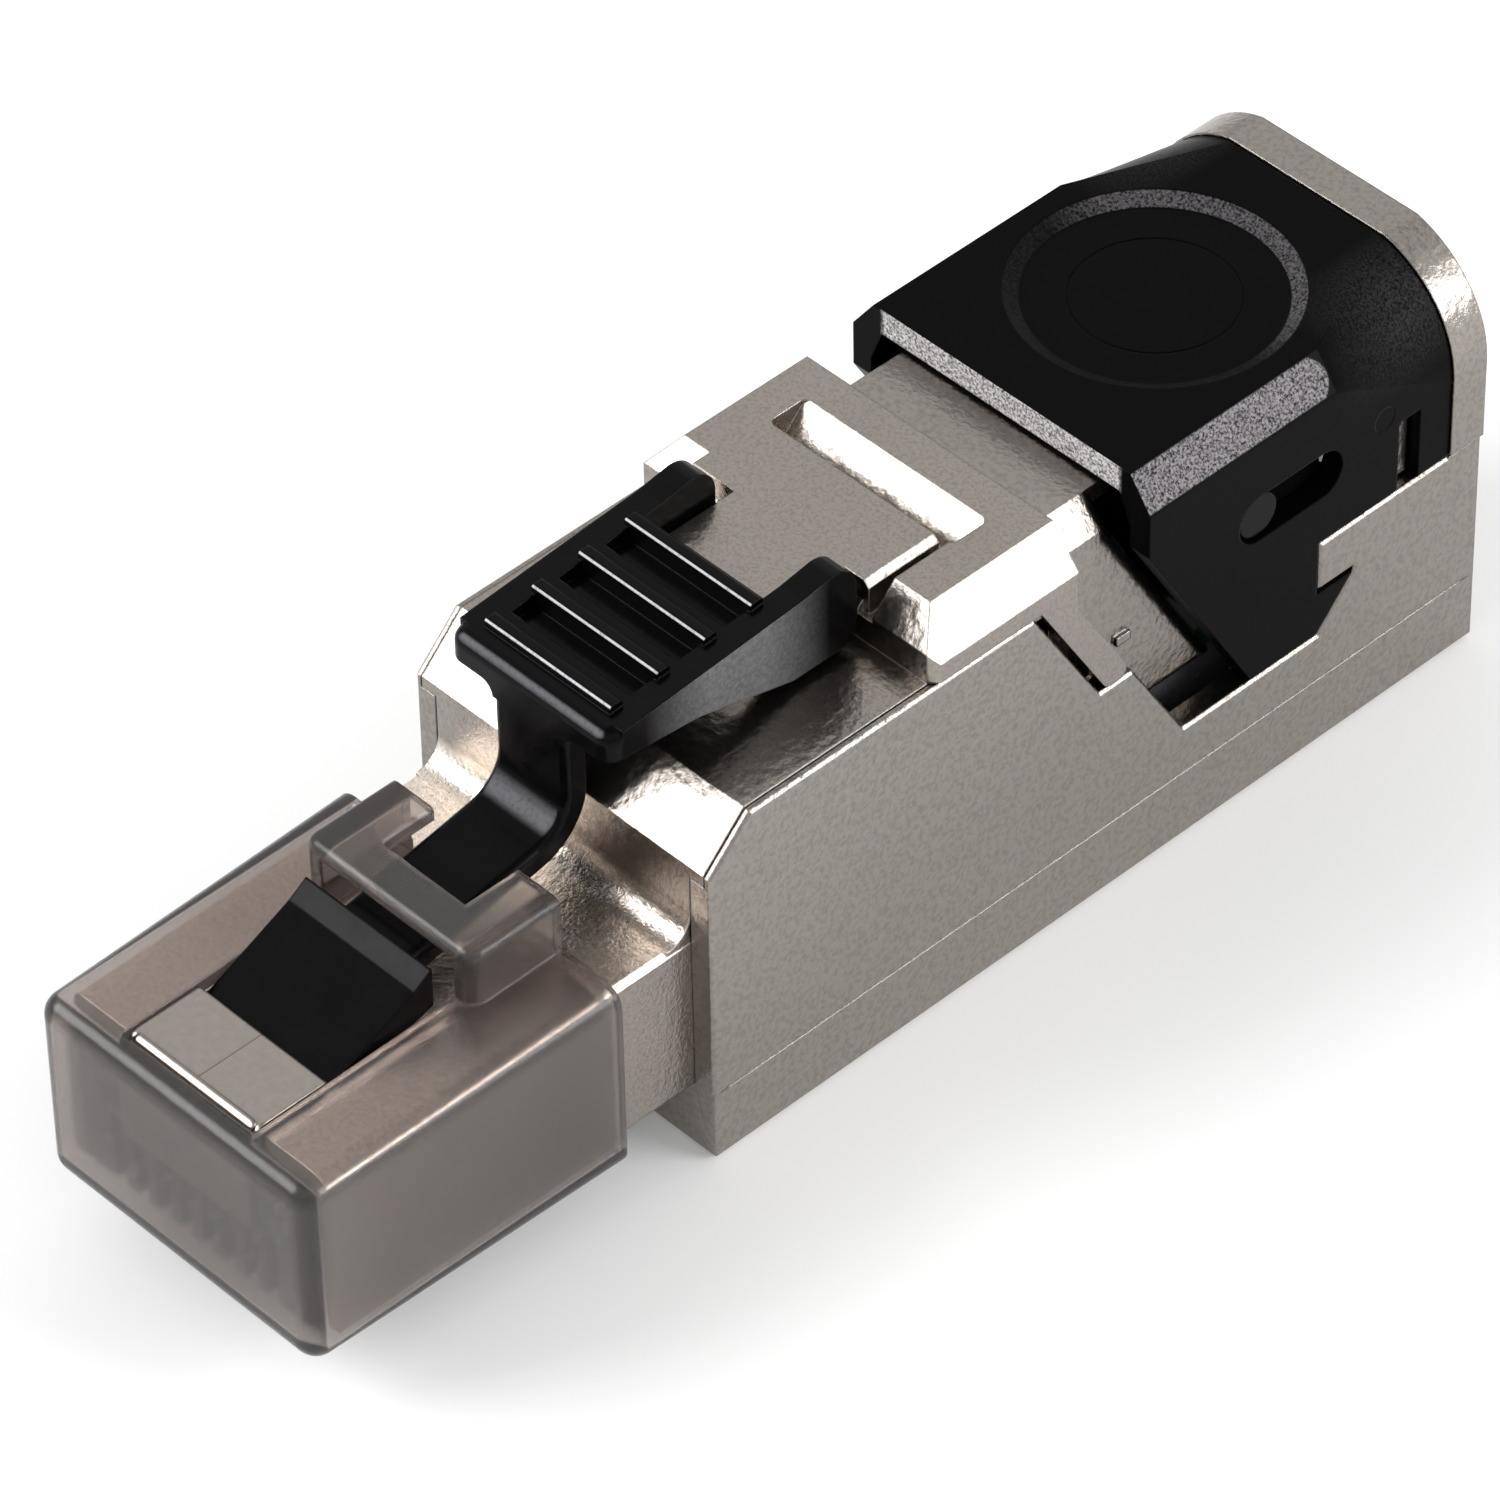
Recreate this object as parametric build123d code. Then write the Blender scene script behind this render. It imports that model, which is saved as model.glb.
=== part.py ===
from build123d import *
import os
from math import radians, tan

# All sizes are millimetres: x across, y along with the nose towards minus, z up.
# While modelling, y is zero at the front of the housing; the pieces are moved
# at the end so that the origin lies under the middle of the whole plug.

# Housing
body_width = 13.5
body_length = 35.1
flank_height = 14.1
flank_thickness = 0.9
floor_thickness = 1.0
bright_bevel = 0.2
front_bevel_depth = 1.8
slip = 0.05

# Flank cut-outs: slanted wall, leg slot, notch and hook
slant_angle = 30.6
notch_y = 21.2
notch_z = 4.9
leg_width = 1.2
leg_gap = 0.3
leg_end_z = 9.0
hook_front_y = 27.5
hook_root_y = 29.2
hook_under_z = 6.95
hook_height = 2.0
ramp_rise = 1.85

# Nose
nose_width = 11.68
nose_length = 15.3
nose_bottom_z = 2.9
nose_height = 6.35
nose_wall = 0.55
nose_foot_radius = 1.0
nose_notch_reach = 2.4
nose_notch_gap = 0.15

# Front cover with its raised frame and tongue
cover_thickness = 0.95
cover_skin = 0.5
cover_lip = 0.3
frame_front_y = 9.75
frame_rear_y = 16.2
frame_height = 2.25
frame_bevel_height = 1.5
frame_side_bevel = 1.18
frame_front_bevel = 1.0
frame_front_bevel_height = 1.1
frame_corner = 0.3
window_width = 8.3
window_front_y = 13.1
window_depth_y = 1.65
window_depth = 1.1
window_rounding = 0.3
slit_width = 0.4
slit_depth = 1.3
plate_front_y = 10.0
plate_left_x = -4.4
plate_right_x = 3.6
plate_bevel = 0.25
tongue_front_y = 6.9
tongue_width = 5.0
knee_radius = 1.2

# Inner shield
shield_width = 10.7
shield_wall = 0.7
shield_rise = 1.25
shield_bevel = 0.9
shield_bevel_height = 1.1
shield_reach = 3.3
shield_rear_y = 19.1
shield_rounding = 0.6
shield_foot_z = 5.4
shield_nib_y = 19.6
shield_nib_z = 8.9
shield_nib_length = 0.65
shield_nib_height = 0.35
shield_nib_proud = 0.15
shield_tongue_y = 20.4

# Lid
lid_front_y = 19.4
lid_rise = 2.4
lid_top_thickness = 1.0
lid_flank_thickness = 0.85
lid_gap = 0.12
lid_shoulder_width = 0.95
lid_shoulder_drop = 1.3
lid_shoulder_end_y = 28.0
lid_slant_start_z = 13.45
lid_slant_reach = 3.2
lug_clearance = 0.15
dish_radius = 5.0
dish_wall = 0.6
dish_depth = 0.35
dish_y = 26.5
dish_ring_radius = 2.9
stadium_length = 4.8
stadium_height = 1.9
stadium_y = 26.0
stadium_z = 11.95
tab_slot_length = 1.0
tab_slot_y = 31.6
tab_slot_top_z = 12.0

# Rear arch and cable entry
arch_front_y = 33.6
arch_thickness = 1.55
arch_proud = 0.1
arch_flat_width = 6.9
arch_shoulder_drop = 4.1
arch_bulge = 0.65
cable_radius = 4.0
cable_z = 9.05
tab_thickness = 0.7
tab_length = 2.75
tab_height = 3.0

# Latch
latch_root_y = -12.5
latch_root_z = 9.1
latch_thickness = 0.85
latch_wide = 5.8
latch_step_y = -8.15
latch_step_z = 11.5
latch_band_length = 0.75
latch_band_drop = 0.5
latch_arm_width = 3.3
latch_arm_step = 0.7
latch_arm_root = 0.5
latch_arm_slope = 0.178
latch_arm_rounding = 0.3
latch_bend_y = -1.25
latch_bend_radius = 1.5
neck_flare = 0.5
pad_width = 7.4
pad_front_y = -0.9
pad_rear_y = 6.3
pad_clearance = 2.9
pad_rise = 0.5
pad_thickness = 1.0
pad_lip = 0.5
pad_lip_height = 0.6
pad_corner = 0.6
ridge_pitch = 2.0
ridge_count = 4
ridge_length = 5.7
ridge_width = 0.55
ridge_height = 0.3
pocket_length = 1.0
pocket_depth = 0.5
ear_thickness = 1.0
ear_rear_y = 9.38
ear_height = 3.3
ear_clearance = 0.35
ear_rise_y = 7.05
ear_crest_y = 8.3
ear_bottom_y = 6.6
gusset_knee_y = 2.6
gusset_knee_z = 15.6
ear_top_rounding = 1.0
ear_low_rounding = 0.6

# Latch retainer
retainer_width = 5.9
retainer_thickness = 0.3
retainer_rear_y = -12.65
retainer_rise = 0.55
retainer_drop = 4.0
retainer_fold = 0.45

# Dust cap
cap_wall = 0.6
cap_rear_y = -3.6
cap_taper = 0.25
cap_edge_radius = 0.8
cap_play = 0.1
cap_front_play = 0.2
cap_front_wall = 0.8
cap_window_width = 6.1
hood_width = 7.8
hood_length = 3.75
hood_rise = 2.75
hood_roof = 0.53
hood_corner = 0.5
hood_edge = 0.35
hood_notch_width = 3.8
bar_length = 1.6

# Contacts, board and terminals
contact_count = 8
contact_pitch = 1.02
contact_thickness = 0.35
contact_slot = 0.5
contact_length = 5.2
contact_height = 2.7
insert_rear_y = 1.2
board_gap = 0.1
board_tongue_width = 9.0
board_thickness = 1.0
board_bottom_z = 5.0
board_front_y = -9.0
board_rear_y = 28.3
rail_width = 0.6
tray_thickness = 0.6
comb_length = 1.3
comb_height = 1.2
station_count = 4
station_pitch = 1.45
station_front_y = 22.85
terminal_x = 3.7
terminal_thickness = 0.35
terminal_width = 1.05
terminal_height = 4.4
terminal_fork = 0.35
terminal_tail = 0.5
block_front_y = 21.9
block_height = 2.3
manager_headroom = 0.9
manager_bevel = 1.6
manager_groove_width = 1.0
manager_groove_height = 1.95
manager_trough_width = 4.4
boss_radius = 0.85
pair_plate_thickness = 0.3

# Cable saddle and springs
saddle_front_y = 28.7
saddle_rib_width = 0.6
saddle_rib_height = 0.2
braid_spring_width = 1.8
spring_thickness = 0.2
ground_spring_width = 2.0
ground_spring_foot = 1.2
ground_spring_inset = 0.2
ground_spring_rise = 2.0
ground_spring_curl = 1.4
ground_spring_curl_in = 0.4
ground_spring_y = 8.0

# Places that follow from the sizes above
half = body_width / 2
flank_inner = half - flank_thickness
nose_half = nose_width / 2
nose_top_z = nose_bottom_z + nose_height
cover_top_z = flank_height + slip
pad_front_z = cover_top_z + pad_clearance
ear_bottom_z = cover_top_z + ear_clearance
ear_top_z = ear_bottom_z + ear_height
shield_top_z = flank_height + shield_rise
lid_top_z = flank_height + lid_rise
arch_shoulder_z = lid_top_z - arch_shoulder_drop
manager_top_z = lid_top_z - lid_top_thickness - manager_headroom
frame_top_z = cover_top_z + frame_height
hook_top_z = hook_under_z + hook_height
board_top_z = board_bottom_z + board_thickness
inner_half = flank_inner - slip
shield_half = shield_width / 2
board_width = 2 * (shield_half - shield_wall - board_gap)
slant = tan(radians(slant_angle))
lid_slant_foot_z = notch_z + lid_gap


def slant_y(z):
    """Rear edge of the slanted flank wall at height z."""
    return notch_y + (notch_z - z) * slant


def prism(outline, x_from, x_to):
    """A y z outline carried across from one x to another."""
    face = make_face(Polyline(*outline, close=True))
    return extrude(Plane.YZ.offset(x_from) * face, x_to - x_from)


def across(outline, width):
    """A y z outline carried evenly to both sides of the middle."""
    return prism(outline, -width / 2, width / 2)


def along(outline, y_from, y_to):
    """An x z outline carried along y."""
    face = make_face(Polyline(*outline, close=True))
    section = Plane((0, y_from, 0), x_dir=(1, 0, 0), z_dir=(0, -1, 0)) * face
    return extrude(section, y_from - y_to)


def block(x_size, y_from, y_to, z_from, z_to, x_mid=0):
    """A box given by its width and its limits in y and z."""
    spot = Pos(x_mid, (y_from + y_to) / 2, (z_from + z_to) / 2)
    return spot * Box(x_size, y_to - y_from, z_to - z_from)


def both_sides(piece):
    """A piece and its mirror image."""
    return piece + mirror(piece, about=Plane.YZ)


def cross_rod(radius, length, y, z, x_mid=0):
    """A cylinder that lies across the plug."""
    return Pos(x_mid, y, z) * Rot(0, 90, 0) * Cylinder(radius, length)


def long_rod(radius, y_from, y_to, z):
    """A cylinder that lies along the plug."""
    return Pos(0, (y_from + y_to) / 2, z) * Rot(90, 0, 0) * Cylinder(radius, y_to - y_from)


def cover_band(thickness, start_z):
    """Outline of the front face, its bevel and the top, of one thickness."""
    turn = thickness * tan(radians(22.5))
    bevel_foot_z = cover_top_z - front_bevel_depth
    return [
        (0, start_z),
        (0, bevel_foot_z),
        (front_bevel_depth, cover_top_z),
        (frame_rear_y, cover_top_z),
        (frame_rear_y, cover_top_z - thickness),
        (front_bevel_depth + turn, cover_top_z - thickness),
        (thickness, bevel_foot_z - turn),
        (thickness, start_z),
    ]


def base_shell():
    """Lower casting: floor, flanks with their cut-outs, and the rear wall."""
    slot_y = leg_width + leg_gap
    outline = [
        (0, 0),
        (0, flank_height - front_bevel_depth),
        (front_bevel_depth, flank_height),
        (slant_y(flank_height) - slot_y, flank_height),
        (slant_y(leg_end_z) - slot_y, leg_end_z),
        (slant_y(leg_end_z), leg_end_z),
        (notch_y, notch_z),
        (hook_front_y + slip, notch_z),
        (hook_root_y, notch_z + ramp_rise),
        (hook_root_y, hook_under_z),
        (hook_front_y, hook_under_z),
        (hook_front_y, hook_top_z),
        (body_length, hook_top_z),
        (body_length, 0),
    ]
    flank = prism(outline, flank_inner, half)
    upper = flank.edges().filter_by(lambda e: e.center().X > half - slip and e.center().Z > notch_z - slip)
    flank = chamfer(upper, bright_bevel / 2)
    shell = both_sides(flank)
    shell += block(body_width, 0, body_length, 0, floor_thickness)
    shell += block(body_width, 0, flank_thickness, 0, nose_bottom_z - slip)
    shell += block(body_width, arch_front_y, body_length, 0, hook_top_z)
    shell -= long_rod(cable_radius, arch_front_y - 1, body_length + 1, cable_z)
    # The cover's skin lies in a rebate behind a thin lip of each flank
    skin = cover_band(cover_skin + slip, cover_top_z - front_bevel_depth - cover_skin)
    rebate_top = [(-1, skin[-1][1]), (-1, flank_height + 1), (frame_rear_y, flank_height + 1)]
    rebate = prism(rebate_top + skin[4:], 0, half - cover_lip + slip)
    shell -= both_sides(rebate)
    low_edges = shell.edges().filter_by(lambda e: e.center().Z < slip)
    return chamfer(low_edges, bright_bevel)


def raised_frame():
    """Bevelled frame on the cover, with its window, slits and tongue."""
    low_z = cover_top_z - cover_skin
    bevel_z = frame_top_z - frame_bevel_height
    flat = half - frame_side_bevel
    side_cut = [(-half, cover_top_z), (half, cover_top_z), (half, bevel_z), (flat, frame_top_z),
                (-flat, frame_top_z), (-half, bevel_z)]
    length_cut = [
        (frame_front_y, cover_top_z),
        (frame_front_y, frame_top_z - frame_front_bevel_height),
        (frame_front_y + frame_front_bevel, frame_top_z),
        (frame_rear_y, frame_top_z),
        (frame_rear_y, cover_top_z),
    ]
    frame = along(side_cut, frame_front_y, frame_rear_y) & across(length_cut, body_width)
    plan = block(body_width, frame_front_y, frame_rear_y, cover_top_z, frame_top_z)
    front_corners = plan.edges().filter_by(Axis.Z).sort_by(Axis.Y)[0:2]
    frame &= chamfer(front_corners, frame_corner)
    frame += block(body_width - 2 * cover_lip, frame_front_y, frame_rear_y, low_z, cover_top_z)
    # The window has a straight front wall and a ramp behind it
    window_rear_y = window_front_y + window_depth_y
    ramp = [
        (window_front_y, frame_top_z + 1),
        (window_front_y, frame_top_z - window_depth),
        (window_rear_y - window_depth, frame_top_z - window_depth),
        (window_rear_y, frame_top_z),
        (window_rear_y, frame_top_z + 1),
    ]
    mouth = block(window_width, window_front_y, window_rear_y, frame_top_z - window_depth, frame_top_z + 1)
    mouth = fillet(mouth.edges().filter_by(Axis.Z), window_rounding)
    frame -= mouth & across(ramp, window_width)
    # A plate stands out of the sloping front; one slit parts it from the frame's right side
    plate = block(plate_right_x - plate_left_x, plate_front_y, window_front_y, low_z, frame_top_z,
                  x_mid=(plate_right_x + plate_left_x) / 2)
    plate_edge = plate.edges().filter_by(Axis.Y).group_by(Axis.Z)[-1].sort_by(Axis.X)[-1]
    frame -= block(slit_width + plate_bevel, frame_front_y - 1, window_front_y + slip,
                   frame_top_z - slit_depth, frame_top_z + 1,
                   x_mid=plate_right_x + (slit_width - plate_bevel) / 2)
    frame += chamfer(plate_edge, plate_bevel)
    frame += block(tongue_width, tongue_front_y, frame_front_y + frame_front_bevel, low_z, frame_top_z)
    return frame


def cover_leg():
    """Slanted leg of the frame that lies in the slot of the right flank."""
    toe_z = leg_end_z + slip
    knee_z = notch_z + (notch_y - frame_rear_y) / slant
    outline = [
        (slant_y(cover_top_z) - leg_width, cover_top_z + slip),
        (frame_rear_y, cover_top_z + slip),
        (frame_rear_y, knee_z),
        (slant_y(toe_z), toe_z),
        (slant_y(toe_z) - leg_width, toe_z),
    ]
    leg = prism(outline, flank_inner + slip, half)
    toes = leg.edges().filter_by(Axis.X).sort_by(Axis.Z)[0:2]
    leg = fillet(toes, leg_width / 3)
    knee = leg.edges().filter_by(Axis.X).filter_by(lambda e: abs(e.center().Z - knee_z) < slip)
    return fillet(knee, knee_radius)


def front_cover():
    """Upper casting: nose, front face, bevel, top, frame and legs."""
    rear = -nose_length
    nose = block(nose_width, rear, cover_thickness, nose_bottom_z, nose_top_z)
    nose -= block(nose_width - 2 * nose_wall, rear - 1, cover_thickness + 1, nose_bottom_z - 1,
                  nose_top_z - nose_wall)
    nose -= block(latch_wide + 2 * nose_notch_gap, rear - 1, latch_root_y + nose_notch_reach,
                  nose_bottom_z, nose_top_z + 1)
    outer_edges = nose.edges().filter_by(Axis.Y).filter_by(
        lambda e: abs(e.center().X) > nose_half - slip and e.center().Z > nose_top_z - slip)
    nose = chamfer(outer_edges, bright_bevel)
    foot = block(2 * inner_half, -nose_foot_radius, cover_thickness, nose_top_z - nose_wall / 2,
                 nose_top_z + nose_foot_radius)
    foot -= cross_rod(nose_foot_radius, body_width, -nose_foot_radius, nose_top_z + nose_foot_radius)
    cover = nose + foot
    cover += across(cover_band(cover_thickness, nose_top_z - nose_wall), 2 * inner_half)
    skin_start_z = cover_top_z - front_bevel_depth - cover_skin + slip
    cover += across(cover_band(cover_skin, skin_start_z), body_width - 2 * cover_lip)
    cover += raised_frame()
    return cover + both_sides(cover_leg())


def shield_outline(gap):
    """Side outline of the hood behind the frame, grown rearwards by a gap."""
    reach = shield_reach + gap
    rear_y = shield_rear_y + gap
    return [
        (frame_rear_y + slip, floor_thickness),
        (frame_rear_y + slip, shield_top_z),
        (rear_y, shield_top_z),
        (rear_y, notch_z + (notch_y + reach - rear_y) / slant),
        (slant_y(shield_foot_z) + reach, shield_foot_z),
        (slant_y(shield_foot_z), shield_foot_z),
        (slant_y(shield_foot_z), floor_thickness),
    ]


def inner_shield():
    """Hood behind the frame that closes the board space under the lid."""
    front_y = frame_rear_y + slip
    flat = shield_half - shield_bevel
    section = [
        (-shield_half, floor_thickness),
        (-shield_half, shield_top_z - shield_bevel_height),
        (-flat, shield_top_z),
        (flat, shield_top_z),
        (shield_half, shield_top_z - shield_bevel_height),
        (shield_half, floor_thickness),
    ]
    hood = along(section, front_y, body_length) & across(shield_outline(0), shield_width)
    rear_edges = hood.edges().filter_by(
        lambda e: e.center().Y > shield_rear_y - slip and abs(e.center().X) > flat - slip)
    hood = fillet(rear_edges, shield_rounding)
    hood += block(2 * flat, front_y + 1, shield_tongue_y, shield_top_z - shield_wall, shield_top_z)
    hood -= block(shield_width - 2 * shield_wall, front_y - 1, body_length, 0,
                  shield_top_z - shield_wall)
    nib = block(shield_nib_proud + shield_wall, shield_nib_y - shield_nib_length / 2,
                shield_nib_y + shield_nib_length / 2, shield_nib_z, shield_nib_z + shield_nib_height,
                x_mid=shield_half + (shield_nib_proud - shield_wall) / 2)
    return hood + both_sides(nib)


def lid_outline():
    """Side outline of the lid, with the lug that lies under the hook."""
    lug_top_z = hook_under_z - lug_clearance
    slant_foot_y = slant_y(lid_slant_foot_z) + lid_slant_reach
    return [
        (lid_front_y, lid_top_z + 1),
        (lid_front_y, lid_slant_start_z),
        (slant_foot_y, lid_slant_foot_z),
        (hook_front_y - lid_gap, lid_slant_foot_z),
        (hook_root_y - lug_clearance, lug_top_z - slip),
        (hook_root_y - lug_clearance, lug_top_z),
        (hook_front_y - lid_gap, lug_top_z),
        (hook_front_y - lid_gap, hook_top_z + lid_gap),
        (arch_front_y - slip, hook_top_z + lid_gap),
        (arch_front_y - slip, lid_top_z + 1),
    ]


def shoulder_section(y, flank, low_z, flat, shoulder_z, top_z, bulge):
    """Lid or arch section: two flanks, straight or bulging shoulders and a flat top."""
    right = Line((flank, shoulder_z), (flat, top_z))
    left = Line((-flat, top_z), (-flank, shoulder_z))
    if bulge > 0:
        x = (flank + flat) / 2 + bulge
        z = (shoulder_z + top_z) / 2 + bulge
        right = ThreePointArc((flank, shoulder_z), (x, z), (flat, top_z))
        left = ThreePointArc((-flat, top_z), (-x, z), (-flank, shoulder_z))
    edges = [
        Line((flank, low_z), (flank, shoulder_z)),
        right,
        Line((flat, top_z), (-flat, top_z)),
        left,
        Line((-flank, shoulder_z), (-flank, low_z)),
        Line((-flank, low_z), (flank, low_z)),
    ]
    plane = Plane((0, y, 0), x_dir=(1, 0, 0), z_dir=(0, -1, 0))
    return plane * make_face(Wire(edges))


def arch_section(y, inset):
    """Rounded outline of the arch and of the lid's rear end."""
    flat = arch_flat_width / 2 - inset / 2
    top_z = lid_top_z - inset
    return shoulder_section(y, half - inset, 0, flat, arch_shoulder_z, top_z, arch_bulge)


def lid_hull(inset, top_inset, front_y, rear_y):
    """Lid body: bevelled shoulders in front, rounding into the arch."""
    top_z = lid_top_z - top_inset
    flat = half - lid_shoulder_width - inset / 2
    shoulder_z = lid_top_z - lid_shoulder_drop - top_inset
    front = shoulder_section(front_y, half - inset, 0, flat, shoulder_z, top_z, 0)
    middle = shoulder_section(lid_shoulder_end_y, half - inset, 0, flat, shoulder_z, top_z, 0)
    rear = arch_section(rear_y, inset)
    return loft([front, middle], ruled=True) + loft([middle, rear], ruled=True)


def lid_cover():
    """Black lid with its dish, side slots, flanks and lugs."""
    rear_y = arch_front_y - slip
    lid = lid_hull(0, 0, lid_front_y, rear_y)
    lid -= lid_hull(lid_flank_thickness, lid_top_thickness, lid_front_y - 1, rear_y + 1)
    lid &= across(lid_outline(), body_width + 1)
    dish_low_z = lid_top_z - dish_depth
    dish = Pos(0, dish_y, lid_top_z - dish_depth / 2) * Cone(
        dish_radius - dish_wall, dish_radius, dish_depth)
    lid -= dish
    ring = Pos(0, dish_y, dish_low_z) * (
        Cylinder(dish_ring_radius, slip) - Cylinder(dish_ring_radius - slip, slip))
    lid -= ring
    slot = Pos(half, stadium_y, stadium_z) * Rot(0, 90, 0) * extrude(
        Rot(0, 0, 90) * SlotOverall(stadium_length, stadium_height), 2, both=True)
    lid -= both_sides(slot)
    tab_slot = block(2, tab_slot_y - tab_slot_length / 2, tab_slot_y + tab_slot_length / 2,
                     0, tab_slot_top_z, x_mid=half)
    return lid - both_sides(tab_slot)


def rear_arch():
    """Metal arch over the cable, with two tabs that clip into the lid."""
    low_z = hook_top_z + lid_gap
    arch = extrude(arch_section(arch_front_y, -arch_proud), -arch_thickness)
    arch -= block(body_width + 2, 0, body_length + 2, -1, low_z)
    arch -= long_rod(cable_radius, arch_front_y - 1, body_length + 2, cable_z)
    tab_outer = half - lid_flank_thickness - slip
    tab = block(tab_thickness, arch_front_y - tab_length, arch_front_y, low_z, low_z + tab_height,
                x_mid=tab_outer - tab_thickness / 2)
    catch_length = tab_slot_length - 4 * slip
    catch = block(lid_flank_thickness / 2 + slip, tab_slot_y - catch_length / 2,
                  tab_slot_y + catch_length / 2, low_z + slip, tab_slot_top_z - 4 * slip,
                  x_mid=tab_outer + (lid_flank_thickness / 2 - slip) / 2)
    return arch + both_sides(tab + catch)


def latch_arm():
    """Arm that rises from the step and turns up into the neck under the pad."""
    low = latch_thickness
    arm_y = latch_step_y - latch_arm_root
    arm_z = latch_step_z - latch_arm_step
    bend_z = arm_z + (latch_bend_y - arm_y) * latch_arm_slope
    heel_y = latch_bend_y + low
    outline = [
        (arm_y, arm_z),
        (latch_bend_y, bend_z),
        (latch_bend_y, pad_front_z - pad_lip),
        (heel_y, pad_front_z - pad_lip),
        (heel_y, bend_z - low + low * latch_arm_slope),
        (arm_y, arm_z - low),
    ]
    arm = across(outline, latch_arm_width)
    bends = arm.edges().filter_by(Axis.X)
    inner = bends.filter_by(lambda e: abs(e.center().Z - bend_z) < slip)
    arm = fillet(inner, latch_bend_radius)
    bends = arm.edges().filter_by(Axis.X)
    outer = bends.filter_by(lambda e: e.center().Y > heel_y - slip and e.center().Z < bend_z)
    arm = fillet(outer, latch_bend_radius + low)
    rims = arm.faces().sort_by(Axis.X)
    upper = [edge for rim in (rims[0], rims[-1]) for edge in rim.edges()
             if edge.center().Z > arm_z - slip and edge.center().Y < latch_bend_y + slip
             and edge.length > low + slip]
    return fillet(upper, latch_arm_rounding)


def latch():
    """Springy latch: root, locking step, arm, curved neck, pad and ears."""
    root_front_y = -nose_length + retainer_thickness + 4 * slip
    root_top_z = nose_top_z + retainer_rise - retainer_thickness - 3 * slip
    root_low_z = nose_top_z - nose_wall + slip
    arm_z = latch_step_z - latch_arm_step
    locking = [
        (root_front_y, root_low_z),
        (root_front_y, root_top_z),
        (latch_root_y, root_top_z),
        (latch_step_y - latch_band_length, latch_step_z - latch_band_drop),
        (latch_step_y, latch_step_z),
        (latch_step_y, arm_z - latch_thickness),
        (latch_root_y, root_low_z),
    ]
    return across(locking, latch_wide) + latch_arm() + latch_pad()


def pad_z(y):
    """Top of the sloping pad at a place along the plug."""
    return pad_front_z + pad_rise * (y - pad_front_y) / (pad_rear_y - pad_front_y)


def latch_pad():
    """Ribbed finger pad on a flared neck, with side gussets that end in two ears."""
    low_z = pad_front_z - pad_lip - pad_lip_height
    neck_y = latch_bend_y + latch_thickness
    plate = [
        (latch_bend_y, low_z),
        (latch_bend_y, pad_z(latch_bend_y)),
        (pad_rear_y, pad_z(pad_rear_y)),
        (pad_rear_y, pad_z(pad_rear_y) - pad_thickness),
        (neck_y, low_z),
    ]
    pad = across(plate, pad_width)
    corners = pad.edges().filter_by(Axis.Z).sort_by(Axis.Y)[0:2]
    pad = fillet(corners, pad_corner)
    lip = pad.faces().filter_by(lambda f: f.center().Z > pad_front_z - slip).sort_by(Axis.Z)[-1]
    lip_edges = lip.edges().filter_by(lambda e: e.center().Y < latch_bend_y + pad_corner)
    pad = fillet(lip_edges, pad_lip)
    # The neck widens into the lip with two hollow corners
    flare = block(latch_arm_width + 2 * neck_flare, latch_bend_y, neck_y, low_z - neck_flare,
                  low_z + slip)
    hollow = Pos(latch_arm_width / 2 + neck_flare, 0, 0) * long_rod(
        neck_flare, latch_bend_y - 1, neck_y + 1, low_z - neck_flare)
    pad += flare - both_sides(hollow)
    for index in range(ridge_count):
        y = pad_front_y + pad_lip + index * ridge_pitch
        ridge = block(ridge_length, y, y + ridge_width, pad_z(y) - pad_lip, pad_z(y) + ridge_height)
        crest = ridge.edges().filter_by(Axis.X).group_by(Axis.Z)[-1]
        pad += fillet(crest, ridge_height / 2)
        if index > 0:
            pad -= block(ridge_length, y - pocket_length, y, pad_z(y) - pocket_depth, pad_z(y) + 1)
    return pad + both_sides(latch_ear(low_z))


def latch_ear(low_z):
    """Gusset under the edge of the pad that runs back into a rounded ear."""
    lip_y = latch_bend_y + pad_corner
    gusset = [
        (lip_y, low_z),
        (lip_y, pad_z(lip_y)),
        (ear_rise_y, pad_z(ear_rise_y)),
        (ear_crest_y, ear_top_z),
        (ear_rear_y, ear_top_z),
        (ear_rear_y, ear_bottom_z),
        (ear_bottom_y, ear_bottom_z),
        (gusset_knee_y, gusset_knee_z),
    ]
    outer_x = pad_width / 2
    ear = prism(gusset, outer_x - ear_thickness, outer_x)
    rear = ear.edges().filter_by(Axis.X).sort_by(Axis.Y)[-2:].sort_by(Axis.Z)
    ear = fillet(rear[0], ear_low_rounding)
    top = ear.edges().filter_by(Axis.X).sort_by(Axis.Y)[-1]
    return fillet(top, ear_top_rounding)


def latch_retainer():
    """Bent plate on the front of the nose that holds the latch root."""
    top_z = nose_top_z + retainer_rise
    front_y = -nose_length - retainer_thickness
    outline = [
        (front_y, top_z - retainer_drop),
        (front_y, top_z),
        (retainer_rear_y, top_z),
        (retainer_rear_y, top_z - retainer_thickness),
        (front_y + retainer_thickness, top_z - retainer_thickness),
        (front_y + retainer_thickness, top_z - retainer_drop),
    ]
    plate = across(outline, retainer_width)
    fold = plate.edges().filter_by(Axis.X).filter_by(
        lambda e: e.center().Y < front_y + slip and e.center().Z > top_z - slip)
    plate = fillet(fold, retainer_fold)
    inner = plate.edges().filter_by(Axis.X).filter_by(
        lambda e: abs(e.center().Y - front_y - retainer_thickness) < slip
        and abs(e.center().Z - top_z + retainer_thickness) < slip)
    plate = fillet(inner, retainer_fold - retainer_thickness)
    return plate - block(slip / 2, front_y - slip, retainer_rear_y + 1, top_z - slip / 2, top_z + 1)


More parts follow.
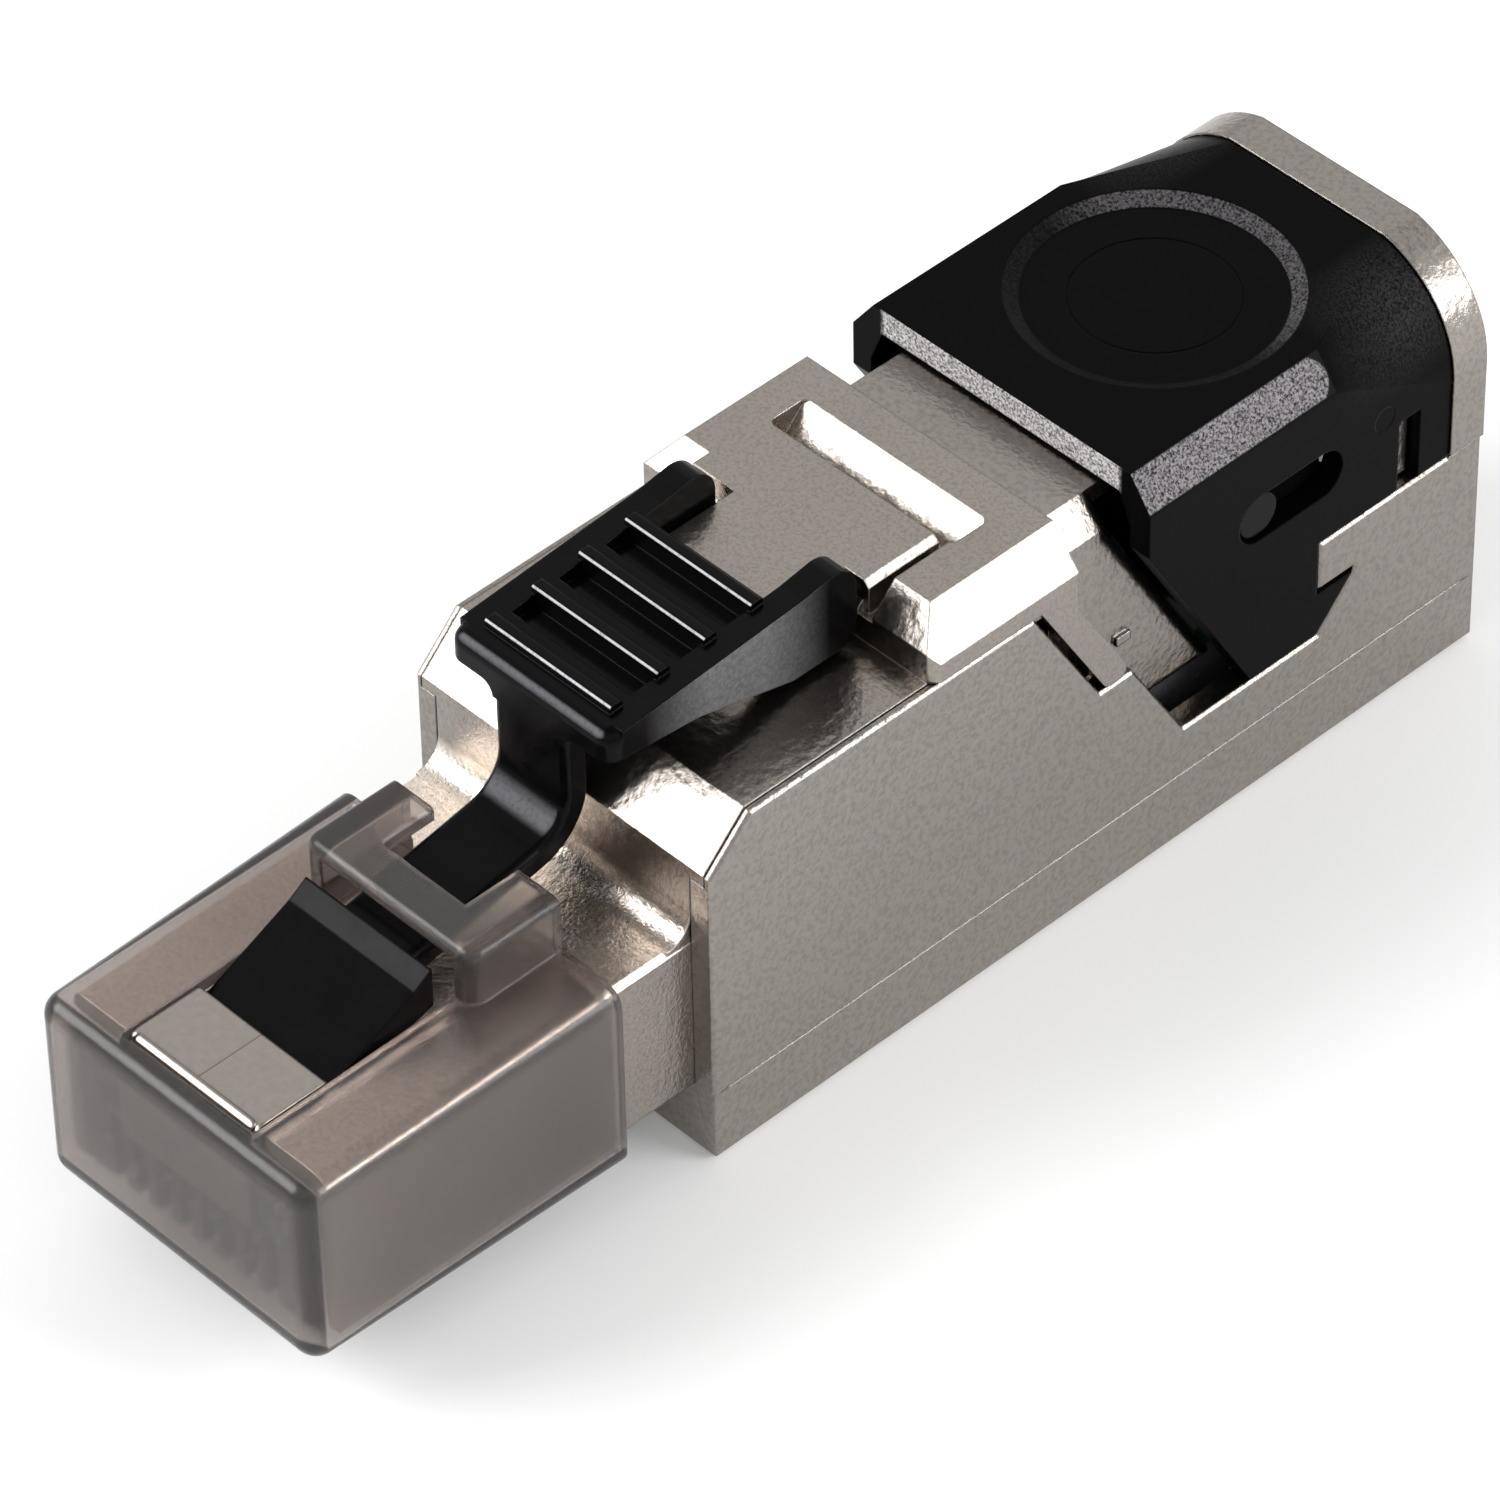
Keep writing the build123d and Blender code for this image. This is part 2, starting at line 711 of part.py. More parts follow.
def dust_cap():
    """Soft translucent cap with a top window and a hood over the arm."""
    inner_half_width = nose_half + cap_play
    inner_low_z = nose_bottom_z - 2 * cap_play
    inner_top_z = nose_top_z + cap_play
    inner_front_y = -nose_length - retainer_thickness - cap_front_play
    front_y = inner_front_y - cap_front_wall
    mid_z = (inner_low_z + inner_top_z) / 2
    height = inner_top_z - inner_low_z + 2 * cap_wall
    rear_plane = Plane((0, cap_rear_y, mid_z), x_dir=(1, 0, 0), z_dir=(0, -1, 0))
    front_plane = Plane((0, front_y, mid_z), x_dir=(1, 0, 0), z_dir=(0, -1, 0))
    rear_width = 2 * (inner_half_width + cap_wall)
    rear = rear_plane * Rectangle(rear_width, height)
    front = front_plane * Rectangle(rear_width - 2 * cap_taper, height - cap_taper)
    cap = loft([rear.face(), front.face()])
    outer_edges = cap.edges().filter_by(lambda e: e.center().Y < cap_rear_y - slip)
    cap = fillet(outer_edges, cap_edge_radius)
    hood_rear_y = cap_rear_y - slip
    hood_front_y = hood_rear_y - hood_length
    hood_top_z = inner_top_z + hood_rise
    hood = block(hood_width, hood_front_y, hood_rear_y, mid_z, hood_top_z)
    corners = hood.edges().filter_by(Axis.Z).sort_by(Axis.Y)[0:2]
    hood = fillet(corners, hood_corner)
    rim = hood.faces().sort_by(Axis.Z)[-1].edges().filter_by(
        lambda e: e.center().Y < hood_rear_y - slip)
    hood = fillet(rim, hood_edge)
    cap += hood
    cap -= block(2 * inner_half_width, inner_front_y, cap_rear_y + 1, inner_low_z, inner_top_z)
    cap -= block(cap_window_width, inner_front_y, cap_rear_y + 1, mid_z, hood_top_z - hood_roof)
    cap -= block(cap_window_width, inner_front_y, hood_front_y, mid_z, hood_top_z + 1)
    notch_front_y = hood_front_y + bar_length
    cap -= block(hood_notch_width, notch_front_y, cap_rear_y + 1, mid_z, hood_top_z + 1)
    # The soft moulding has no sharp edge on the bar or around the notch
    notch_rim = cap.faces().sort_by(Axis.Z)[-1].edges().filter_by(
        lambda e: e.center().Y > notch_front_y - slip and abs(e.center().X) < hood_notch_width / 2 + slip)
    return fillet(notch_rim, hood_edge / 2)


def contact_places():
    """Places across the plug of the contact blades."""
    first = -(contact_count - 1) / 2 * contact_pitch
    return [first + index * contact_pitch for index in range(contact_count)]


def nose_insert():
    """Plastic core of the nose with a slot for each contact and the board."""
    width = nose_width - 2 * nose_wall - 2 * slip
    core = block(width, -nose_length, insert_rear_y, nose_bottom_z + slip,
                 nose_top_z - nose_wall - slip)
    core -= block(board_tongue_width + 4 * slip, board_front_y - slip, insert_rear_y + 1,
                  board_bottom_z - slip, board_top_z + slip)
    low_z = nose_bottom_z
    slot_end_y = -nose_length + contact_length + 2 * slip
    for x in contact_places():
        core -= block(contact_slot, -nose_length - 1, slot_end_y, low_z - 1,
                      low_z + contact_height + 4 * slip, x_mid=x)
    comb_rear_y = board_front_y + comb_length + 2 * slip
    core -= block(board_tongue_width + 4 * slip, slot_end_y - slip, comb_rear_y,
                  board_bottom_z - comb_height - slip, board_bottom_z)
    return core


def plug_contacts():
    """Gold blades that stand in the slots and turn back under the board."""
    low_z = nose_bottom_z + 6 * slip
    front_y = -nose_length + 4 * slip
    rear_y = -nose_length + contact_length
    foot_z = board_bottom_z - contact_thickness
    outline = [
        (front_y, low_z + contact_height / 2),
        (front_y, low_z + contact_height - 4 * slip),
        (rear_y, low_z + contact_height - 4 * slip),
        (rear_y, board_bottom_z),
        (board_front_y + comb_length, board_bottom_z),
        (board_front_y + comb_length, foot_z),
        (rear_y - contact_thickness, foot_z),
        (rear_y - 2 * contact_thickness, low_z),
        (front_y + contact_thickness, low_z),
    ]
    blades = []
    for x in contact_places():
        left = x - contact_thickness / 2
        blades.append(prism(outline, left, left + contact_thickness))
    return Compound(blades)


def contact_comb():
    """Bar with a slot for the foot of each contact, under the board."""
    comb = block(board_tongue_width, board_front_y, board_front_y + comb_length,
                 board_bottom_z - comb_height, board_bottom_z - slip)
    for x in contact_places():
        comb -= block(contact_slot, board_front_y - 1, board_front_y + comb_length + 1,
                      board_bottom_z - contact_thickness - slip, board_bottom_z, x_mid=x)
    return comb


def station_places():
    """Places along the plug of the terminals on each side."""
    return [station_front_y + index * station_pitch for index in range(station_count)]


def terminal_slots(width, thickness, z_from, z_to):
    """Upright slots for the terminals of both sides."""
    slots = []
    for y in station_places():
        for x in (-terminal_x, terminal_x):
            slots.append(block(thickness, y - width / 2, y + width / 2, z_from, z_to, x_mid=x))
    return slots


def circuit_board():
    """Board from the contacts in the nose back to the terminals."""
    board = block(board_width, insert_rear_y, board_rear_y, board_bottom_z, board_top_z)
    board += block(board_tongue_width, board_front_y, insert_rear_y, board_bottom_z, board_top_z)
    for slot in terminal_slots(terminal_width + slip, terminal_thickness + slip, 0, board_top_z + 1):
        board -= slot
    return board


def board_tray():
    """Insulating tray between the board and the casting."""
    front_y = insert_rear_y + 4 * slip
    rear_y = board_rear_y
    tray = block(board_width, front_y, rear_y, floor_thickness, board_bottom_z)
    tray -= block(board_width - 2 * rail_width, front_y - 1, rear_y + 1,
                  floor_thickness + tray_thickness, board_bottom_z + 1)
    return tray


def idc_block():
    """Plastic block on the board that holds the terminals upright."""
    body = block(board_width, block_front_y, board_rear_y, board_top_z, board_top_z + block_height)
    for slot in terminal_slots(terminal_width + slip, terminal_thickness + slip, 0, flank_height):
        body -= slot
    plate_y = station_front_y + station_pitch * (station_count - 1) / 2
    groove = block(board_width + 1, plate_y - pair_plate_thickness / 2 - slip / 2,
                   plate_y + pair_plate_thickness / 2 + slip / 2, board_top_z + slip, flank_height)
    return body - groove


def pair_shield():
    """Plate across the block between its front and rear terminals."""
    plate_y = station_front_y + station_pitch * (station_count - 1) / 2
    return block(board_width, plate_y - pair_plate_thickness / 2, plate_y + pair_plate_thickness / 2,
                 board_top_z + slip, board_top_z + block_height)


def idc_contacts():
    """Forked terminals, one for each wire."""
    low_z = board_bottom_z - terminal_tail
    top_z = board_top_z + terminal_height
    outline_half = terminal_width / 2
    forks = []
    for y in station_places():
        for x in (-terminal_x, terminal_x):
            fork = block(terminal_thickness, y - outline_half, y + outline_half, low_z, top_z, x_mid=x)
            slot_low_z = board_top_z + block_height
            fork -= block(1, y - terminal_fork / 2, y + terminal_fork / 2, slot_low_z, top_z + 1,
                          x_mid=x)
            forks.append(fork)
    return Compound(forks)


def wire_manager():
    """Press block with wire grooves, a cable trough and two side bosses."""
    low_z = board_top_z + block_height + slip
    body = block(2 * inner_half, block_front_y, board_rear_y, low_z, manager_top_z)
    top_edges = body.edges().filter_by(Axis.Y).group_by(Axis.Z)[-1]
    body = chamfer(top_edges, manager_bevel)
    body -= block(manager_trough_width, block_front_y + 1, board_rear_y + 1, low_z - 1,
                  cable_z + cable_radius - 1)
    pockets = terminal_slots(terminal_width + 4 * slip, terminal_thickness + 4 * slip, 0,
                             board_top_z + terminal_height + 2 * slip)
    for pocket in pockets:
        body -= pocket
    for y in station_places():
        body -= block(body_width, y - manager_groove_width / 2, y + manager_groove_width / 2,
                      low_z - 1, low_z + manager_groove_height)
    # Its front corners stay clear of the hood's sides
    body -= both_sides(prism(shield_outline(2 * slip), board_width / 2, half))
    boss_y = stadium_y - stadium_length / 2 + stadium_height / 2 + slip
    boss_length = flank_thickness - 2 * slip
    boss = cross_rod(boss_radius, boss_length, boss_y, stadium_z, x_mid=inner_half + boss_length / 2)
    return body + both_sides(boss)


def cable_saddle():
    """Ribbed cradle in the base that grips the cable jacket."""
    rear_y = arch_front_y - slip
    groove_radius = cable_radius + saddle_rib_height + slip
    cradle = block(2 * inner_half, saddle_front_y, rear_y, floor_thickness, hook_top_z - slip)
    cradle -= long_rod(groove_radius, saddle_front_y - 1, rear_y + 1, cable_z)
    ribs = []
    free = rear_y - saddle_front_y - braid_spring_width
    for index in range(2):
        y = saddle_front_y + braid_spring_width + free * (index + 0.5) / 2
        rib = block(2 * groove_radius, y, y + saddle_rib_width, floor_thickness, hook_top_z - slip)
        ribs.append(rib - long_rod(cable_radius + slip, y - 1, y + 2, cable_z))
    for rib in ribs:
        cradle += rib
    return cradle


def braid_spring():
    """Thin half ring in the cradle that touches the cable's braid."""
    outer = cable_radius + saddle_rib_height + slip
    end_y = saddle_front_y + braid_spring_width
    ring = long_rod(outer, saddle_front_y, end_y, cable_z)
    ring -= long_rod(outer - spring_thickness, saddle_front_y - 1, end_y + 1, cable_z)
    ring &= block(body_width, saddle_front_y, end_y, 0, hook_top_z - slip)
    return ring


def ground_springs():
    """Two leaves that tie the board to the flanks."""
    foot_z = board_top_z + spring_thickness / 2
    outer_x = inner_half - spring_thickness
    heel_x = board_width / 2 - ground_spring_inset
    knee_z = foot_z + ground_spring_rise
    path = Polyline((heel_x - ground_spring_foot, foot_z), (heel_x, foot_z), (outer_x, knee_z),
                    (outer_x - ground_spring_curl_in, knee_z + ground_spring_curl))
    strip = trace(path, spring_thickness)
    plane = Plane((0, ground_spring_y, 0), x_dir=(1, 0, 0), z_dir=(0, -1, 0))
    leaf = extrude(plane * strip, -ground_spring_width)
    return Compound([leaf.solid(), mirror(leaf, about=Plane.YZ).solid()])


def main():
    """Builds every piece, sets the origin and writes the files."""
    pieces = {
        "base_shell": base_shell(),
        "front_cover": front_cover(),
        "inner_shield": inner_shield(),
        "lid_cover": lid_cover(),
        "rear_arch": rear_arch(),
        "latch": latch(),
        "latch_retainer": latch_retainer(),
        "dust_cap": dust_cap(),
        "nose_insert": nose_insert(),
        "plug_contacts": plug_contacts(),
        "contact_comb": contact_comb(),
        "circuit_board": circuit_board(),
        "board_tray": board_tray(),
        "idc_block": idc_block(),
        "pair_shield": pair_shield(),
        "idc_contacts": idc_contacts(),
        "wire_manager": wire_manager(),
        "cable_saddle": cable_saddle(),
        "braid_spring": braid_spring(),
        "ground_springs": ground_springs(),
    }
    front_y = -nose_length - retainer_thickness - cap_front_play - cap_front_wall
    rear_y = arch_front_y + arch_thickness
    to_origin = Pos(0, -(front_y + rear_y) / 2, 0)
    os.makedirs("parts", exist_ok=True)
    for name, piece in pieces.items():
        export_step(to_origin * piece, "parts/" + name + ".step")


main()
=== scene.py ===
import bpy
import numpy as np
from mathutils import Matrix, Vector
from math import cos, pi, radians, sin


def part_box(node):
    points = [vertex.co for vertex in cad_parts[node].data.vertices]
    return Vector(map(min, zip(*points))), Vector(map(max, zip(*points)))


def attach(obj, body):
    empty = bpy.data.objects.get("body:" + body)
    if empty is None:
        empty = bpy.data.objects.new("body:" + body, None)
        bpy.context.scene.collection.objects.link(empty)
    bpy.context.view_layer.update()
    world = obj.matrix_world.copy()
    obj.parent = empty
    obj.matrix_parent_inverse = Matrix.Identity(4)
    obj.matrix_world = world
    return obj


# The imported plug: every node of it sits at the origin with its place in its mesh. The plug's
# sizes are given in millimetres, which MM turns into metres, and the studio's in metres.
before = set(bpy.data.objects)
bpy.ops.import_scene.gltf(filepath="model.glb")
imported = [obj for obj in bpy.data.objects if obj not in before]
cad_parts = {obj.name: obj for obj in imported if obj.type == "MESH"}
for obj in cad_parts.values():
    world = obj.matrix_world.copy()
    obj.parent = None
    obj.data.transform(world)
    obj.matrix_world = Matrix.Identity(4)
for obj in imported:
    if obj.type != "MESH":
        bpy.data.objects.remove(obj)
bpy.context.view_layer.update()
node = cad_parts
MM = 0.001


# Housing castings
# The lower body, the hood under the lid and the rear arch are zinc die castings, tumbled and
# plated with satin nickel. The eye sees a fine hammered grain that glints where it turns bright.
def linear(code):
    """An sRGB hex colour as linear red, green, blue and an alpha of one."""
    parts = np.array([int(code[i:i + 2], 16) for i in (1, 3, 5)]) / 255
    parts = np.where(parts <= 0.04045, parts / 12.92, ((parts + 0.055) / 1.055) ** 2.4)
    return (*parts, 1.0)


def add(owner, kind, inputs=(), out=0, **settings):
    """Adds a shader node, with its properties as settings. Its inputs are values or links, in the
    order of its sockets or by their names or numbers. Gives one output, or a node that has none."""
    made = owner.node_tree.nodes.new("ShaderNode" + kind)
    for name, value in settings.items():
        setattr(made, name, value)
    for name, value in inputs.items() if isinstance(inputs, dict) else enumerate(inputs):
        if isinstance(value, bpy.types.NodeSocket):
            owner.node_tree.links.new(value, made.inputs[name])
        else:
            made.inputs[name].default_value = value
    return made.outputs[out] if made.outputs else made


def finish_named(name):
    """A new empty material, and a place on the piece counted in millimetres."""
    material = bpy.data.materials.new(name)
    material.use_nodes = True
    material.node_tree.nodes.clear()
    place = add(material, "TexCoord", out="Object")
    return material, add(material, "VectorMath", {0: place, "Scale": 1 / MM}, operation="SCALE")


def dress(material, *names):
    """Gives CAD nodes one material."""
    for name in names:
        node[name].data.materials.clear()
        node[name].data.materials.append(material)


# A Mix node blends the colours at its inputs 6 and 7 by the share at its input 0. A Map Range
# node takes a value, the range that it is read in, and the range that it is given.
COLOURS = {"out": 2, "data_type": "RGBA"}
SMOOTH = {"interpolation_type": "SMOOTHSTEP"}
# Most of a noise lies between these two
NOISE_LOW, NOISE_HIGH = 0.3, 0.7
# Where the body's front face lies along the plug, and how soft the change of finish is there
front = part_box("base_shell")[0][1] / MM
front_fade = 0.1
# Soft lumps, patches of plating and rounded edges, and the joint line on the middle of the nose
lump, lump_depth, patch, casting_edge = 0.42, 0.028, 5.0, 0.1
joint_full, joint_gone = 0.02, 0.05
# The upward part of a normal at which the painted highlight on the nose top begins, and at which it
# is whole
nose_highlight_from, nose_highlight_to = 0.05, 0.5
# The grain's values at which a pit is darkest and at which the skin is plain, and that dark
pit_low, pit_high, pit_dark = 0.34, 0.58, 0.8
cast_smooth, cast_rough = 0.23, 0.28


def casting(name, light, dark, top_highlight, grain, grain_depth, body_share, joint_depth):
    """Satin nickel on a casting: fine grain over soft lumps and soft edges. On a nose, ahead of the
    body, the faces turned upward get a painted highlight in the colour given for it, and a joint
    line runs at x = 0; behind it the grain has only its body share of the depth."""
    made, place = finish_named(name)
    pores = add(made, "TexNoise", {"Vector": place, "Scale": 1 / grain, "Detail": 3.0,
                                   "Roughness": 0.62})
    lumps = add(made, "TexNoise", {"Vector": place, "Scale": 1 / lump, "Detail": 1.0})
    patches = add(made, "TexNoise", {"Vector": place, "Scale": 1 / patch, "Detail": 2.0})
    depth = add(made, "SeparateXYZ", [place], out="Y")
    ahead = add(made, "MapRange", [depth, front + front_fade, front])
    aside = add(made, "SeparateXYZ", [place], out="X")
    from_middle = add(made, "Math", [aside], operation="ABSOLUTE")
    joint = add(made, "MapRange", [from_middle, joint_gone, joint_full])
    joint = add(made, "Math", [joint, ahead], operation="MULTIPLY")
    edge = add(made, "Bevel", {"Radius": casting_edge * MM}, samples=6)
    soft = add(made, "Bump", {"Height": lumps, "Distance": lump_depth * MM, "Normal": edge})
    strength = add(made, "MapRange", [ahead, 0.0, 1.0, body_share, 1.0])
    relief = add(made, "Bump", {"Height": pores, "Distance": grain_depth * MM,
                                "Strength": strength, "Normal": soft})
    relief = add(made, "Bump", {"Height": joint, "Distance": joint_depth * MM,
                                "Normal": relief}, invert=True)
    tone = add(made, "Mix", {0: patches, 6: linear(light), 7: linear(dark)}, **COLOURS)
    upward = add(made, "SeparateXYZ", [add(made, "TexCoord", out="Normal")], out="Z")
    # Painted highlight: on the nose, faces turned upward are made paler in the colour given
    nose_highlight = add(made, "MapRange", [upward, nose_highlight_from, nose_highlight_to])
    nose_highlight = add(made, "Math", [nose_highlight, ahead], operation="MULTIPLY")
    tone = add(made, "Mix", {0: nose_highlight, 6: tone, 7: linear(top_highlight)}, **COLOURS)
    pits = add(made, "MapRange", [pores, pit_low, pit_high, pit_dark, 1.0], **SMOOTH)
    tone = add(made, "Mix", {0: 1.0, 6: tone, 7: pits}, blend_type="MULTIPLY", **COLOURS)
    rough = add(made, "MapRange", [patches, NOISE_LOW, NOISE_HIGH, cast_smooth, cast_rough])
    shader = add(made, "BsdfPrincipled", {"Base Color": tone, "Metallic": 1.0,
                                          "Roughness": rough, "Normal": relief})
    add(made, "OutputMaterial", {"Surface": shader})
    return made


dress(casting("satin nickel on die-cast zinc", "#9C9690", "#97918B", "#9C9690",
              grain=0.2, grain_depth=0.026, body_share=1.0, joint_depth=0.0),
      "base_shell", "inner_shield", "rear_arch")

# Front cover
# The cover and its nose are one casting, pressed into the body. Its die was rougher, so the grain
# in the hollow over the nose is finer and sharper. The top of the nose gets a painted highlight, a
# pale colour on its upward faces.
dress(casting("satin nickel on a rough casting", "#A29B94", "#9B948D", "#F0E4D8",
              grain=0.13, grain_depth=0.03, body_share=0.3, joint_depth=0.04), "front_cover")


# Parting beads
# Where the two halves of the die met, a fine bead of metal runs along each flank. It is 0.1 mm
# wide, stands 0.03 mm proud and keeps the plating of the casting.
def beads(name, runs, half_width, proud, along=64, around=12, bluntness=32):
    """Beads in one mesh: start plus v times the run, and round it at angle u the ellipse of
    sideways half_width cos u and outward proud sin u, both times the taper
    (1 - (2v - 1)^bluntness)^(1/2), which closes the ends on their points."""
    v = np.linspace(0, 1, along + 2)[1:-1, None, None]
    u = np.linspace(0, 2 * pi, around, endpoint=False)[None, :, None]
    taper = np.sqrt(1 - (2 * v - 1) ** bluntness)
    ring = np.arange(around)
    beside = (ring + 1) % around
    rows = (np.arange(along - 1) * around)[:, None]
    last = (along - 1) * around
    start_point, end_point = np.full(around, along * around), np.full(around, along * around + 1)
    quads = np.stack([rows + ring, rows + beside, rows + around + beside, rows + around + ring],
                     axis=-1).reshape(-1, 4)
    near = np.stack([ring, start_point, beside], axis=-1)
    far = np.stack([last + ring, last + beside, end_point], axis=-1)
    points, faces = [], []
    for number, (start, end, outward) in enumerate(runs):
        start, end, outward = (np.array(part, float) for part in (start, end, outward))
        sideways = np.cross(outward, (end - start) / np.linalg.norm(end - start))
        oval = half_width * np.cos(u) * sideways + proud * np.sin(u) * outward
        skin = start + v * (end - start) + taper * oval
        points += [skin.reshape(-1, 3), start[None], end[None]]
        first = number * (along * around + 2)
        for part in (quads, near, far):
            faces += (part + first).tolist()
    mesh = bpy.data.meshes.new(name)
    mesh.from_pydata((np.concatenate(points) * MM).tolist(), [], faces)
    mesh.shade_smooth()
    piece = bpy.data.objects.new(name, mesh)
    bpy.context.scene.collection.objects.link(piece)
    return piece


bead_height, bead_half_width, bead_proud, bead_gap = 2.9, 0.05, 0.03, 0.1
body_low, body_high = (np.array(corner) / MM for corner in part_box("base_shell"))
bead_start, bead_end = body_low[1] + bead_gap, body_high[1] - bead_gap
flank_beads = beads("parting_beads", [
    ((side * body_high[0], bead_start, bead_height), (side * body_high[0], bead_end, bead_height),
     (side, 0, 0)) for side in (-1, 1)], bead_half_width, bead_proud)
flank_beads.data.materials.append(node["base_shell"].data.materials[0])
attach(flank_beads, "housing")

# Plated sheet
# Retainer, terminal plate, braid ring and ground leaves are spring sheet, stamped and nickel
# plated: smoother than the castings, with rolled edges that draw a fine bright line.
rolled_grain, rolled_depth, rolled_edge = 0.35, 0.003, 0.18
sheet_smooth, sheet_rough = 0.18, 0.26
sheet, place = finish_named("nickel plated spring sheet")
rolled = add(sheet, "TexNoise", {"Vector": place, "Scale": 1 / rolled_grain, "Detail": 3.0})
edge = add(sheet, "Bevel", {"Radius": rolled_edge * MM}, samples=8)
relief = add(sheet, "Bump", {"Height": rolled, "Distance": rolled_depth * MM, "Normal": edge})
tone = add(sheet, "Mix", {0: rolled, 6: linear("#A39C95"), 7: linear("#978F88")}, **COLOURS)
rough = add(sheet, "MapRange", [rolled, NOISE_LOW, NOISE_HIGH, sheet_smooth, sheet_rough])
shader = add(sheet, "BsdfPrincipled", {"Base Color": tone, "Metallic": 1.0, "Roughness": rough,
                                       "Normal": relief})
add(sheet, "OutputMaterial", {"Surface": shader})
dress(sheet, "latch_retainer", "pair_shield", "braid_spring", "ground_springs")

# Coined fold
# The retainer's front fold is struck nearly flat in the press. It is the same sheet, and draws a
# bright band about 0.5 mm wide across the end of the nose.
fold_radius, end_gap, coin_half_width, coin_proud = 0.45, 0.12, 0.24, 0.05
# The fold faces forward and up at 45 degrees, whose sine and cosine this is
slope = 0.7071
retainer_low, retainer_high = (np.array(corner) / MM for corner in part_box("latch_retainer"))
fold_y = retainer_low[1] + fold_radius * (1 - slope)
fold_z = retainer_high[2] - fold_radius * (1 - slope)
coined_fold = beads("coined_fold", [
    ((retainer_low[0] + end_gap, fold_y, fold_z), (retainer_high[0] - end_gap, fold_y, fold_z),
     (0, -slope, slope))], coin_half_width, coin_proud)
coined_fold.data.materials.append(sheet)
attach(coined_fold, "housing")

# Lid
# The lid is glass filled nylon from a polished mould, black, with spark eroded zones that the
# mould left rough: the strip along each shoulder, the front rim and the rear wall of the dish.
lid, place = finish_named("black nylon with sparked zones")
low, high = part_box("lid_cover")
lid_front, lid_top, lid_side = low[1] / MM, high[2] / MM, high[0] / MM
aside = add(lid, "SeparateXYZ", [place], out="X")
across = add(lid, "Math", [aside], operation="ABSOLUTE")
depth = add(lid, "SeparateXYZ", [place], out="Y")
along = add(lid, "Math", [depth, lid_front], operation="SUBTRACT")
height = add(lid, "SeparateXYZ", [place], out="Z")
drop = add(lid, "Math", [lid_top, height], operation="SUBTRACT")
# The strip: as wide as the shoulder, with an end that curves back on both sides of its middle
strip_width, strip_drop, strip_length, strip_round = 0.93, 1.26, 8.6, 0.5
strip_gap, zone_fade = 0.02, 0.04
off_middle = add(lid, "Math", [across, strip_width / 2 - lid_side], operation="ADD")
bulge = add(lid, "Math", [off_middle, off_middle], operation="MULTIPLY")
bulge = add(lid, "Math", [bulge, 4 * strip_round / strip_width ** 2, along],
            operation="MULTIPLY_ADD")
strip_end = add(lid, "MapRange", [bulge, strip_length, strip_length - 2 * zone_fade])
strip_start = add(lid, "MapRange", [along, strip_gap, strip_gap + zone_fade])
strip_inside = lid_side - strip_width
strip_side = add(lid, "MapRange", [across, strip_inside, strip_inside + zone_fade])
strip_foot = add(lid, "MapRange", [drop, strip_drop, strip_drop - zone_fade])
strip_run = add(lid, "Math", [strip_end, strip_start], operation="MINIMUM")
strip = add(lid, "Math", [strip_side, strip_foot], operation="MINIMUM")
strip = add(lid, "Math", [strip_run, strip], operation="MINIMUM")
# The front rim: the face of the lid's front edge, down to the shoulder. Each pair says where the
# zone is gone and where it is whole.
rim_depth, rim_reach, rim_drop = (0.03, 0.01), (5.5, 5.3), (1.05, 0.95)
rim_face = add(lid, "MapRange", [along, *rim_depth])
rim_side = add(lid, "MapRange", [across, *rim_reach])
rim_foot = add(lid, "MapRange", [drop, *rim_drop])
rim = add(lid, "Math", [rim_side, rim_foot], operation="MINIMUM")
rim = add(lid, "Math", [rim_face, rim], operation="MINIMUM")
# The dish: a ring round its middle, where the wall slopes. It is rougher at the rear, from a
# trace of sparks just ahead of its middle to a third of a whole zone behind it.
dish_middle, dish_inner, dish_outer, dish_drop = 7.1, 4.42, 4.98, (0.5, 0.4)
rougher_from, rougher_to, ring_trace, ring_share = -0.5, 3.0, 0.03, 0.34
behind = add(lid, "Math", [along, dish_middle], operation="SUBTRACT")
from_middle = add(lid, "CombineXYZ", [aside, behind])
radius = add(lid, "VectorMath", [from_middle], out="Value", operation="LENGTH")
ring_inside = add(lid, "MapRange", [radius, dish_inner, dish_inner + zone_fade])
ring_outside = add(lid, "MapRange", [radius, dish_outer, dish_outer - zone_fade])
ring_foot = add(lid, "MapRange", [drop, *dish_drop])
ring = add(lid, "Math", [ring_inside, ring_outside], operation="MINIMUM")
ring = add(lid, "Math", [ring, ring_foot], operation="MINIMUM")
rougher = add(lid, "MapRange", [along, dish_middle + rougher_from, dish_middle + rougher_to,
                                ring_trace, ring_share], **SMOOTH)
ring = add(lid, "Math", [ring, rougher], operation="MULTIPLY")
# Towards the arch the shoulders turn faintly rough
arch_run, shoulder_reach, shoulder_drop, arch_share = (8.8, 12.5), (3.0, 5.2), (3.2, 1.2), 0.1
to_arch = add(lid, "MapRange", [along, *arch_run, 0.0, arch_share])
to_side = add(lid, "MapRange", [across, *shoulder_reach])
to_top = add(lid, "MapRange", [drop, *shoulder_drop])
fading = add(lid, "Math", [to_arch, to_side], operation="MULTIPLY")
fading = add(lid, "Math", [fading, to_top], operation="MULTIPLY")
zone = add(lid, "Math", [rim, ring], operation="MAXIMUM")
zone = add(lid, "Math", [strip, zone], operation="MAXIMUM")
zone = add(lid, "Math", [zone, fading], operation="MAXIMUM")
